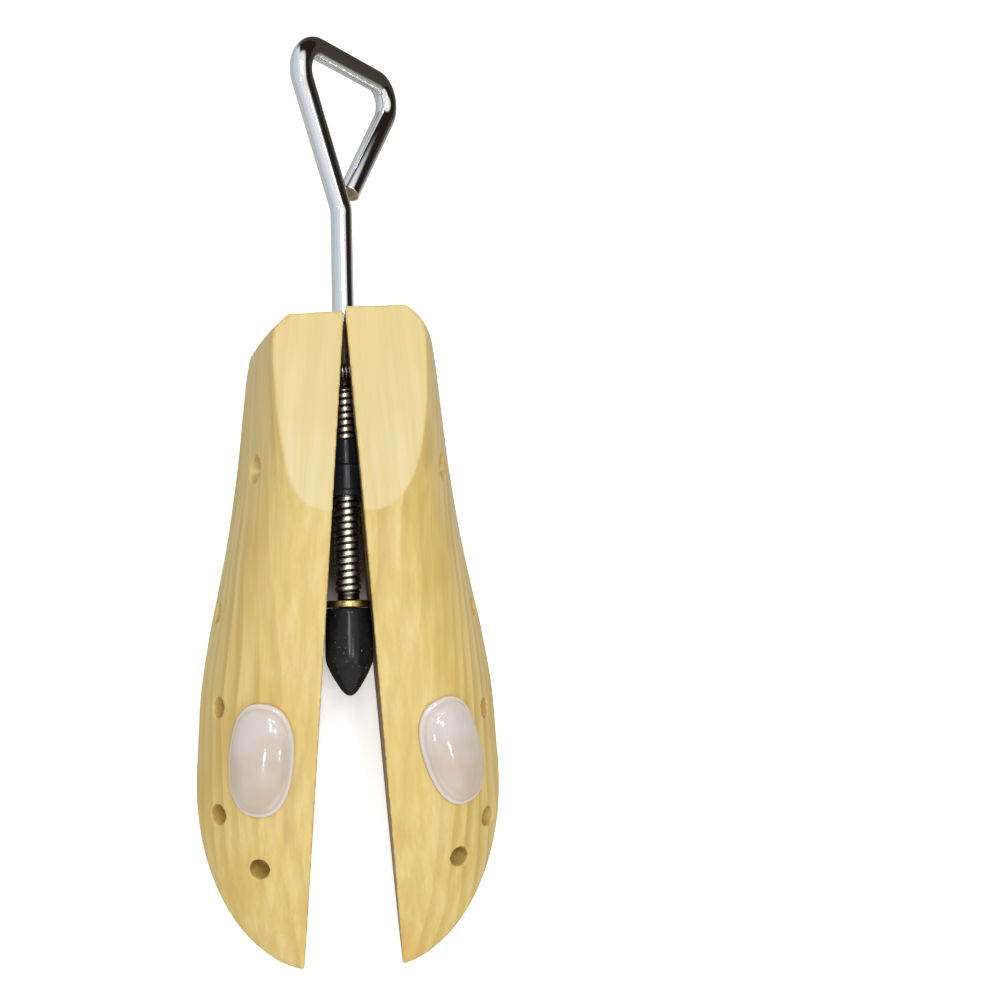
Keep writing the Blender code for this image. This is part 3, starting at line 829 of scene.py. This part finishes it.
class Sheet:
    """Short names for adding linked nodes to a node tree."""

    def __init__(self, tree):
        self.tree = tree

    def add(self, kind, inputs, **settings):
        node = self.tree.nodes.new(kind)
        for key, value in settings.items():
            setattr(node, key, value)
        for key, value in inputs.items():
            self.put(node.inputs[key], value)
        return node

    def put(self, socket, value):
        if isinstance(value, bpy.types.NodeSocket):
            self.tree.links.new(value, socket)
        else:
            socket.default_value = value

    def calc(self, operation, a, b=0.0):
        return self.add("ShaderNodeMath", {0: a, 1: b}, operation=operation).outputs[0]

    def join(self, x, y, z):
        return self.add("ShaderNodeCombineXYZ", {0: x, 1: y, 2: z}).outputs[0]

    def distance(self, a, b):
        return self.add("ShaderNodeVectorMath", {0: a, 1: b}, operation="DISTANCE").outputs[1]

    def minus(self, a, b):
        return self.add("ShaderNodeVectorMath", {0: a, 1: b}, operation="SUBTRACT").outputs[0]

    def dot(self, a, b):
        return self.add("ShaderNodeVectorMath", {0: a, 1: b}, operation="DOT_PRODUCT").outputs[1]

    def noise(self, vector, scale, detail=3.0, roughness=0.5):
        node = self.add("ShaderNodeTexNoise", {"Vector": vector, "Scale": scale, "Detail": detail,
                                               "Roughness": roughness})
        return node.outputs["Fac"]

    def stretch(self, vector, scale, offset=(0.0, 0.0, 0.0)):
        node = self.add("ShaderNodeMapping", {"Vector": vector, "Scale": scale,
                                              "Location": offset})
        return node.outputs["Vector"]

    def ease(self, value, low, high, to_low=0.0, to_high=1.0):
        node = self.add("ShaderNodeMapRange", {"Value": value, "From Min": low, "From Max": high,
                                               "To Min": to_low, "To Max": to_high},
                        interpolation_type="SMOOTHSTEP")
        return node.outputs["Result"]

    def mix(self, share, a, b):
        node = self.add("ShaderNodeMix", {}, data_type="RGBA")
        self.put(node.inputs[0], share)
        self.put(node.inputs[6], a)
        self.put(node.inputs[7], b)
        return node.outputs[2]


class Finish(Sheet):
    """A material's nodes, with its shader."""

    def __init__(self, name):
        self.mat = bpy.data.materials.new(name)
        self.mat.use_nodes = True
        super().__init__(self.mat.node_tree)
        self.shader = self.tree.nodes["Principled BSDF"]

    def object_coords(self):
        return self.add("ShaderNodeTexCoord", {}).outputs["Object"]

    def bump(self, height, strength, distance):
        node = self.add("ShaderNodeBump", {"Height": height, "Strength": strength,
                                           "Distance": distance})
        self.put(self.shader.inputs["Normal"], node.outputs["Normal"])

    def give(self, **inputs):
        for key, value in inputs.items():
            self.put(self.shader.inputs[key.replace("_", " ")], value)


def half_coordinates(s, side):
    """Places and directions in a half's own closed frame: x, d and z as in the shapes above."""
    coords = s.add("ShaderNodeTexCoord", {}).outputs
    point = s.minus(coords["Object"], (0, HEEL_Y, 0))
    c = math.cos(side * SWING)
    t = math.sin(side * SWING)
    x = s.dot(point, (c, t, 0))
    d = s.dot(point, (t, -c, 0))
    z = s.dot(point, (0, 0, 1))
    up = s.dot(coords["Normal"], (0, 0, 1))
    inward = s.dot(coords["Normal"], (-side * c, -side * t, 0))
    return SimpleNamespace(x=x, d=d, z=z, w=s.calc("MULTIPLY", x, float(side)),
                           own=s.join(x, d, z), up=up, inward=inward)


def late_wood(s, here, side, seed):
    """Growth rings about a pith beside and below the blank, wandering along the length."""
    wander = s.noise(s.stretch(here.own, (1, 0.30, 1), (seed, 0, seed)), 20, 2.0)
    wander = s.calc("MULTIPLY", s.calc("SUBTRACT", wander, 0.5), 0.022)
    fine = s.noise(s.stretch(here.own, (1, 0.12, 1), (seed, 0, 0)), 130, 2.0)
    fine = s.calc("MULTIPLY", s.calc("SUBTRACT", fine, 0.5), 0.0022)
    flat = s.join(here.x, s.calc("MULTIPLY", here.d, 0.04), here.z)
    ring = s.distance(flat, (side * 0.092, 0, -0.028 - 0.01 * seed))
    ring = s.calc("ADD", s.calc("ADD", ring, wander), fine)
    phase = s.calc("FRACT", s.calc("MULTIPLY", ring, 170))
    late = s.calc("MULTIPLY", s.ease(phase, 0.25, 0.86), s.ease(phase, 1.0, 0.90))
    patch = s.noise(s.stretch(here.own, (1, 0.25, 1), (0, seed, 0)), 38, 2.0)
    return s.calc("MULTIPLY", late, s.ease(patch, 0.34, 0.70, 0.08, 0.74))


def pine_colour(s, here, late, streak, fibre, seed):
    """Planed pine with soft blotches, a few brown streaks and fibres."""
    blotch = s.noise(s.stretch(here.own, (1, 0.6, 1), (seed, seed, 0)), 34, 3.0)
    scorch = s.noise(s.stretch(here.own, (1, 0.10, 1), (seed * 2, 0, 0)), 95, 2.0)
    colour = s.mix(s.ease(streak, 0.30, 0.70), (0.735, 0.560, 0.205, 1), (0.655, 0.475, 0.145, 1))
    colour = s.mix(late, colour, (0.520, 0.330, 0.085, 1))
    colour = s.mix(s.ease(blotch, 0.50, 0.74, 0.0, 0.62), colour, (0.600, 0.375, 0.075, 1))
    colour = s.mix(s.ease(scorch, 0.66, 0.80, 0.0, 0.50), colour, (0.400, 0.215, 0.055, 1))
    return s.mix(s.calc("MULTIPLY", s.ease(fibre, 0.45, 0.75), 0.16), colour,
                 (0.450, 0.290, 0.080, 1))


def facet_colour(s, here, colour, streak, seed):
    """Paler cream on the flat at the top of the heel, lighter towards the toe."""
    facet = s.calc("MULTIPLY", s.ease(here.up, 0.975, 0.997),
                   s.ease(here.z, FACET_Z - 0.0009, FACET_Z - 0.0002))
    tone = s.calc("ADD", s.calc("MULTIPLY", here.d, 9.0), s.noise(here.own, 45, 2.0))
    pale = s.mix(s.ease(tone, 0.55, 1.05), (0.615, 0.475, 0.160, 1), (0.635, 0.525, 0.250, 1))
    cream = s.mix(s.ease(streak, 0.25, 0.75), pale, (0.585, 0.445, 0.150, 1))
    facet_patches = s.noise(s.stretch(here.own, (1, 0.45, 1), (seed, 0, 0)), 55, 2.0)
    return s.mix(s.calc("MULTIPLY", facet, s.ease(facet_patches, 0.25, 0.62, 0.75, 1.0)), colour, cream)


def knot_colour(s, here, colour, streak):
    """A small brown knot beside the right half's facet."""
    knot = s.distance(s.stretch(here.own, (1, 0.55, 1)), (0.0300, 0.0300, 0.0470))
    knot = s.calc("ADD", knot, s.calc("MULTIPLY", s.calc("SUBTRACT", streak, 0.5), 0.012))
    return s.mix(s.ease(knot, 0.0085, 0.0025, 0.0, 0.60), colour, (0.470, 0.265, 0.060, 1))


def inside_colour(s, here, colour, soil, inner):
    """Brown unfinished inner face, and painted shade in the run for the screw and cone."""
    brown = s.mix(soil, (0.300, 0.185, 0.080, 1), (0.430, 0.290, 0.130, 1))
    colour = s.mix(s.calc("MULTIPLY", inner, 0.82), colour, brown)
    # Painted shade: the channel round the screw and cone is darkened nearly to black, except where
    # its faces turn up above the axis.
    radial = s.distance(s.join(here.x, 0.0, here.z), (0, 0, AXIS_Z))
    run = s.calc("MULTIPLY", s.ease(radial, 0.0100, 0.0094), s.ease(here.w, 0.0004, 0.0012))
    run = s.calc("MULTIPLY", run, s.ease(here.d, 0.131, 0.124))
    outer = s.calc("MULTIPLY", s.ease(here.up, 0.10, 0.35), s.ease(here.z, AXIS_Z, AXIS_Z + 0.002))
    run = s.calc("MULTIPLY", run, s.calc("SUBTRACT", 1.0, outer))
    return s.mix(s.calc("MULTIPLY", run, 0.94), colour, (0.040, 0.022, 0.010, 1))


def wood_material(name, side, seed):
    s = Finish(name)
    here = half_coordinates(s, side)
    late = late_wood(s, here, side, seed)
    fibre = s.noise(s.stretch(here.own, (1, 0.020, 1), (seed, 0, seed)), 1500, 3.0, 0.6)
    streak = s.noise(s.stretch(here.own, (1, 0.045, 1), (0, seed, seed)), 330, 3.0, 0.55)
    soil = s.noise(s.stretch(here.own, (1, 0.3, 1)), 90, 4.0)
    inner = s.ease(here.inward, 0.80, 0.97)
    colour = pine_colour(s, here, late, streak, fibre, seed)
    colour = facet_colour(s, here, colour, streak, seed)
    colour = knot_colour(s, here, colour, streak)
    colour = inside_colour(s, here, colour, soil, inner)
    # Painted highlight: convex edges are lightened towards cream by their pointiness.
    rim = s.add("ShaderNodeNewGeometry", {}).outputs["Pointiness"]
    colour = s.mix(s.ease(rim, 0.52, 0.60, 0.0, 0.45), colour, (0.900, 0.780, 0.450, 1))
    rough = s.calc("ADD", s.calc("MULTIPLY", fibre, 0.16), s.calc("MULTIPLY", soil, 0.10))
    rough = s.calc("ADD", s.calc("ADD", rough, 0.24), s.calc("MULTIPLY", inner, 0.25))
    s.give(Base_Color=colour, Roughness=rough, Coat_Weight=0.15, Coat_Roughness=0.28)
    height = s.calc("ADD", s.calc("MULTIPLY", fibre, 0.6), s.calc("MULTIPLY", late, 0.5))
    s.bump(height, 0.10, 0.0003)
    return s.mat


def chrome_material():
    s = Finish("chrome")
    coords = s.object_coords()
    haze = s.noise(coords, 90, 4.0)
    scratch = s.noise(s.stretch(coords, (1, 0.06, 1)), 2600, 2.0)
    rough = s.calc("ADD", s.ease(haze, 0.35, 0.75, 0.045, 0.12), s.calc("MULTIPLY", scratch, 0.03))
    pit = s.ease(s.noise(coords, 900, 1.0), 0.76, 0.80)
    colour = s.mix(pit, (0.80, 0.81, 0.82, 1), (0.30, 0.24, 0.18, 1))
    s.give(Base_Color=colour, Metallic=1.0, Roughness=rough)
    s.bump(scratch, 0.02, 0.0001)
    return s.mat


def thread_material():
    s = Finish("oily_thread")
    coords = s.object_coords()
    radial = s.distance(s.stretch(coords, (1, 0, 1)), (0, 0, AXIS_Z))
    # Painted shade: the steel is darkened nearly to black towards the thread's roots; the clouding
    # and specks are dirt.
    crest = s.ease(radial, 0.0038, 0.0045)
    dirt = s.noise(coords, 420, 4.0, 0.6)
    steel = s.mix(dirt, (0.70, 0.68, 0.60, 1), (0.42, 0.39, 0.30, 1))
    colour = s.mix(crest, (0.060, 0.050, 0.034, 1), steel)
    speck = s.ease(s.noise(coords, 700, 2.0), 0.66, 0.74)
    colour = s.mix(speck, colour, (0.22, 0.15, 0.07, 1))
    s.give(Base_Color=colour, Metallic=s.calc("SUBTRACT", 1.0, s.calc("MULTIPLY", speck, 0.5)),
           Roughness=s.ease(dirt, 0.3, 0.7, 0.20, 0.42))
    s.bump(dirt, 0.10, 0.0002)
    return s.mat


def shaded_shank_material():
    """Painted shade: dark brown over the part of the rod that turns inside the heel."""
    s = Finish("painted_shade_shank")
    coords = s.object_coords()
    shade_mottle = s.noise(coords, 380, 4.0, 0.6)
    colour = s.mix(s.ease(shade_mottle, 0.35, 0.70), (0.030, 0.019, 0.010, 1), (0.110, 0.075, 0.040, 1))
    s.give(Base_Color=colour, Metallic=0.4, Roughness=s.ease(shade_mottle, 0.3, 0.7, 0.35, 0.60))
    s.bump(shade_mottle, 0.15, 0.0002)
    return s.mat


def sawn_material():
    s = Finish("sawn_end")
    coords = s.object_coords()
    saw = s.noise(s.stretch(coords, (0.15, 1, 1)), 2400, 2.0)
    rust = s.noise(coords, 500, 3.0)
    colour = s.mix(s.ease(rust, 0.35, 0.7), (0.52, 0.44, 0.30, 1), (0.30, 0.20, 0.11, 1))
    s.give(Base_Color=colour, Metallic=0.75, Roughness=s.ease(saw, 0.3, 0.7, 0.35, 0.6))
    s.bump(saw, 0.3, 0.0002)
    return s.mat


def black_material(name, tint, dusty):
    s = Finish(name)
    coords = s.object_coords()
    cloud = s.noise(coords, 260, 4.0, 0.6)
    turned = s.noise(s.stretch(coords, (0.05, 1, 0.05)), 2600, 2.0)
    colour = s.mix(s.ease(cloud, 0.40, 0.75), tint, (0.018, 0.017, 0.014, 1))
    speck = s.ease(s.noise(coords, 1100, 2.0), 0.71, 0.74, 0.0, dusty)
    colour = s.mix(speck, colour, (0.35, 0.31, 0.26, 1))
    scuff = s.ease(s.noise(s.stretch(coords, (1, 0.5, 1)), 480, 5.0, 0.7), 0.62, 0.74, 0.0, 0.14)
    colour = s.mix(scuff, colour, (0.11, 0.105, 0.095, 1))
    s.give(Base_Color=colour, Metallic=0.0, Roughness=s.ease(cloud, 0.3, 0.7, 0.14, 0.26),
           Specular_IOR_Level=0.22)
    s.bump(s.calc("ADD", turned, cloud), 0.08, 0.0001)
    return s.mat


def brass_material():
    s = Finish("brass")
    coords = s.object_coords()
    cloud = s.noise(coords, 340, 4.0, 0.65)
    turned = s.noise(s.stretch(coords, (0.06, 1, 0.06)), 2200, 2.0)
    colour = s.mix(s.ease(cloud, 0.38, 0.66), (0.66, 0.49, 0.17, 1), (0.17, 0.11, 0.04, 1))
    s.give(Base_Color=colour, Metallic=1.0, Roughness=s.ease(cloud, 0.3, 0.7, 0.24, 0.50))
    s.bump(turned, 0.15, 0.0002)
    return s.mat


def steel_material(name, axis):
    s = Finish(name)
    coords = s.object_coords()
    drawn = s.noise(s.stretch(coords, axis), 2500, 2.0)
    cloud = s.noise(coords, 300, 3.0)
    colour = s.mix(s.ease(cloud, 0.40, 0.72), (0.42, 0.41, 0.39, 1), (0.16, 0.13, 0.10, 1))
    s.give(Base_Color=colour, Metallic=1.0, Roughness=s.ease(drawn, 0.3, 0.7, 0.22, 0.38))
    s.bump(drawn, 0.08, 0.0001)
    return s.mat


def milky_material(name, node):
    seat, _, ahead, across = plug_frame(*PLUGS[node])
    s = Finish(name)
    coords = s.object_coords()
    local = s.minus(coords, tuple(seat))
    u = s.calc("DIVIDE", s.dot(local, tuple(ahead)), PLUG_HALF[1])
    v = s.calc("DIVIDE", s.dot(local, tuple(across)), PLUG_HALF[0])
    reach = s.calc("SQRT", s.calc("ADD", s.calc("MULTIPLY", u, u), s.calc("MULTIPLY", v, v)))
    cloud = s.noise(coords, 70, 2.0)
    tone = s.calc("ADD", s.calc("MULTIPLY", u, 0.34), cloud)
    body = s.mix(s.ease(tone, 0.20, 0.85), (0.560, 0.460, 0.345, 1), (0.640, 0.565, 0.545, 1))
    colour = s.mix(s.ease(reach, 0.80, 0.97), body, (0.700, 0.610, 0.560, 1))
    s.give(Base_Color=colour, Roughness=s.ease(cloud, 0.3, 0.7, 0.10, 0.17),
           Subsurface_Weight=0.45, Subsurface_Radius=(1.0, 0.75, 0.60), Subsurface_Scale=0.004,
           Coat_Weight=0.35, Coat_Roughness=0.06)
    s.bump(s.noise(coords, 240, 2.0), 0.05, 0.0004)
    return s.mat


# ---------------------------------------------------------------- set, light and camera

def build_floor():
    """Pale table with a painted shadow, dark brown, in the halves' gap under the screw, grey in
    gloss, and dark in gloss towards the right.
    """
    bm = bmesh.new()
    corners = [bm.verts.new((x, y, 0)) for x, y in ((-4, -4), (4, -4), (4, 4), (-4, 4))]
    bm.faces.new(corners)
    s = Finish("floor")
    path = s.add("ShaderNodeLightPath", {}).outputs
    spot = s.object_coords()
    along = s.dot(spot, (0, 1, 0))
    # Painted shadow: seen by the camera, a strip under the screw between the halves is darkened to
    # brown and loses its glow.
    under = s.calc("MULTIPLY", s.ease(along, -0.062, -0.022), s.ease(along, 0.066, 0.058))
    under = s.calc("MULTIPLY", under, s.ease(s.calc("ABSOLUTE", s.dot(spot, (1, 0, 0))), 0.03, 0.02))
    pale = s.mix(under, (0.93, 0.93, 0.93, 1), (0.16, 0.13, 0.10, 1))
    tint = s.mix(path["Is Camera Ray"], (0.58, 0.56, 0.52, 1), pale)
    dim = s.ease(s.dot(spot, (0.80, 0.60, 0)), 0.09, 0.15)
    gloss = s.mix(dim, (0.50, 0.50, 0.46, 1), (0.045, 0.036, 0.026, 1))
    tint = s.mix(path["Is Glossy Ray"], tint, gloss)
    glow = s.calc("MULTIPLY", path["Is Camera Ray"], s.calc("SUBTRACT", 1.0, under))
    s.give(Base_Color=tint, Roughness=0.9, Specular_IOR_Level=0.1, Emission_Color=(1, 1, 1, 1),
           Emission_Strength=s.calc("MULTIPLY", glow, 0.40))
    floor = finish("floor", bm, [s.mat])


def build_world():
    """Pale surround, brighter overhead. In gloss it has the dim side of a room at the right."""
    world = bpy.data.worlds.new("room")
    bpy.context.scene.world = world
    world.use_nodes = True
    world.node_tree.nodes.clear()
    s = Sheet(world.node_tree)
    way = s.add("ShaderNodeTexCoord", {}).outputs["Generated"]
    toward = s.dot(way, (0.80, 0.60, 0))
    high = s.dot(way, (0, 0, 1))
    dim = s.calc("MULTIPLY", s.ease(toward, 0.10, 0.32), s.ease(high, 0.78, 0.60))
    left = s.ease(s.dot(way, (-1, 0, 0)), 0.1, 0.9)
    cool = s.mix(left, (0.95, 0.95, 0.96, 1), (0.62, 0.70, 0.80, 1))
    gloss = s.mix(dim, cool, (0.020, 0.014, 0.010, 1))
    path = s.add("ShaderNodeLightPath", {})
    soft = s.mix(s.ease(high, 0.0, 0.85), (0.42, 0.42, 0.41, 1), (0.88, 0.89, 0.90, 1))
    colour = s.mix(path.outputs["Is Glossy Ray"], soft, gloss)
    colour = s.mix(path.outputs["Is Camera Ray"], colour, (0.97, 0.97, 0.97, 1))
    back = s.add("ShaderNodeBackground", {"Color": colour, "Strength": 1.0})
    s.add("ShaderNodeOutputWorld", {"Surface": back.outputs[0]})


def area_light(name, spot, size, power):
    light = bpy.data.lights.new(name, "AREA")
    light.shape = "RECTANGLE"
    light.size = size[0]
    light.size_y = size[1]
    light.energy = power
    obj = bpy.data.objects.new(name, light)
    bpy.context.collection.objects.link(obj)
    obj.location = spot
    obj.rotation_euler = (-Vector(spot)).to_track_quat("-Z", "Y").to_euler()


def build_lights():
    area_light("lamp_near_left", (-0.02, 0.42, 1.20), (0.15, 0.15), 1.1)
    area_light("lamp_near_right", (0.32, 0.36, 1.20), (0.15, 0.15), 1.1)
    area_light("lamp_long", (0.00, 0.06, 1.25), (0.14, 0.38), 2.3)
    area_light("lamp_low", (0.32, -0.12, 1.20), (0.14, 0.16), 1.1)
    area_light("lamp_toe_left", (-0.32, -0.52, 1.05), (0.07, 0.16), 0.5)
    area_light("lamp_toe_right", (0.52, -0.52, 0.95), (0.07, 0.16), 0.5)


def build_camera():
    data = bpy.data.cameras.new("camera")
    data.sensor_width = 36.0
    data.lens = 51.65
    data.clip_start = 0.01
    cam = bpy.data.objects.new("camera", data)
    bpy.context.collection.objects.link(cam)
    cam.location = (-0.0145, -0.0466, 0.552)
    cam.rotation_euler = (math.radians(5.39), math.radians(-7.57), math.radians(-1.63))
    bpy.context.scene.camera = cam


# ---------------------------------------------------------------- assembly

def stand_for(obj, node, body):
    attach(obj, body)
    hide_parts(node)


def main():
    bpy.context.scene.view_settings.view_transform = "Standard"
    chrome = chrome_material()
    sleeve = black_material("black_sleeve", (0.014, 0.014, 0.020, 1), 0.35)
    bullet = black_material("black_cone", (0.009, 0.009, 0.011, 1), 0.8)
    pins = steel_material("pin_steel", (0.05, 1, 1))
    wire = steel_material("spring_wire", (1, 1, 1))
    for name, side, seed in (("left", -1, 0.37), ("right", 1, 1.91)):
        wood = wood_material(name + "_wood", side, seed)
        body = name + "_last"
        stand_for(build_half(name + "_wooden_half", side, wood), name + "_half", body)
        stand_for(build_spring_pin(name + "_anchor", side, pins), name + "_spring_pin", body)
        stand_for(build_trunnion(name + "_trunnion", side, pins), name + "_cross_pin", "nut")
        milky = milky_material(name + "_milky", name + "_plug")
        stand_for(build_plug(name + "_pressure_plug", name + "_plug", milky), name + "_plug",
                  name + "_pad")
    screw = build_screw([chrome, thread_material(), sawn_material(), shaded_shank_material()])
    stand_for(screw, "handle_screw", "screw")
    stand_for(build_nut(sleeve), "thread_nut", "nut")
    stand_for(build_washer(brass_material()), "thrust_washer", "spreader")
    stand_for(build_cone(bullet), "spreader_cone", "spreader")
    stand_for(build_cone_pin(pins), "cone_cross_pin", "spreader")
    spring, start, end = build_spring(wire)
    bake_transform(spring)
    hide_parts("tension_spring")
    build_floor()
    build_world()
    build_lights()
    build_camera()


main()
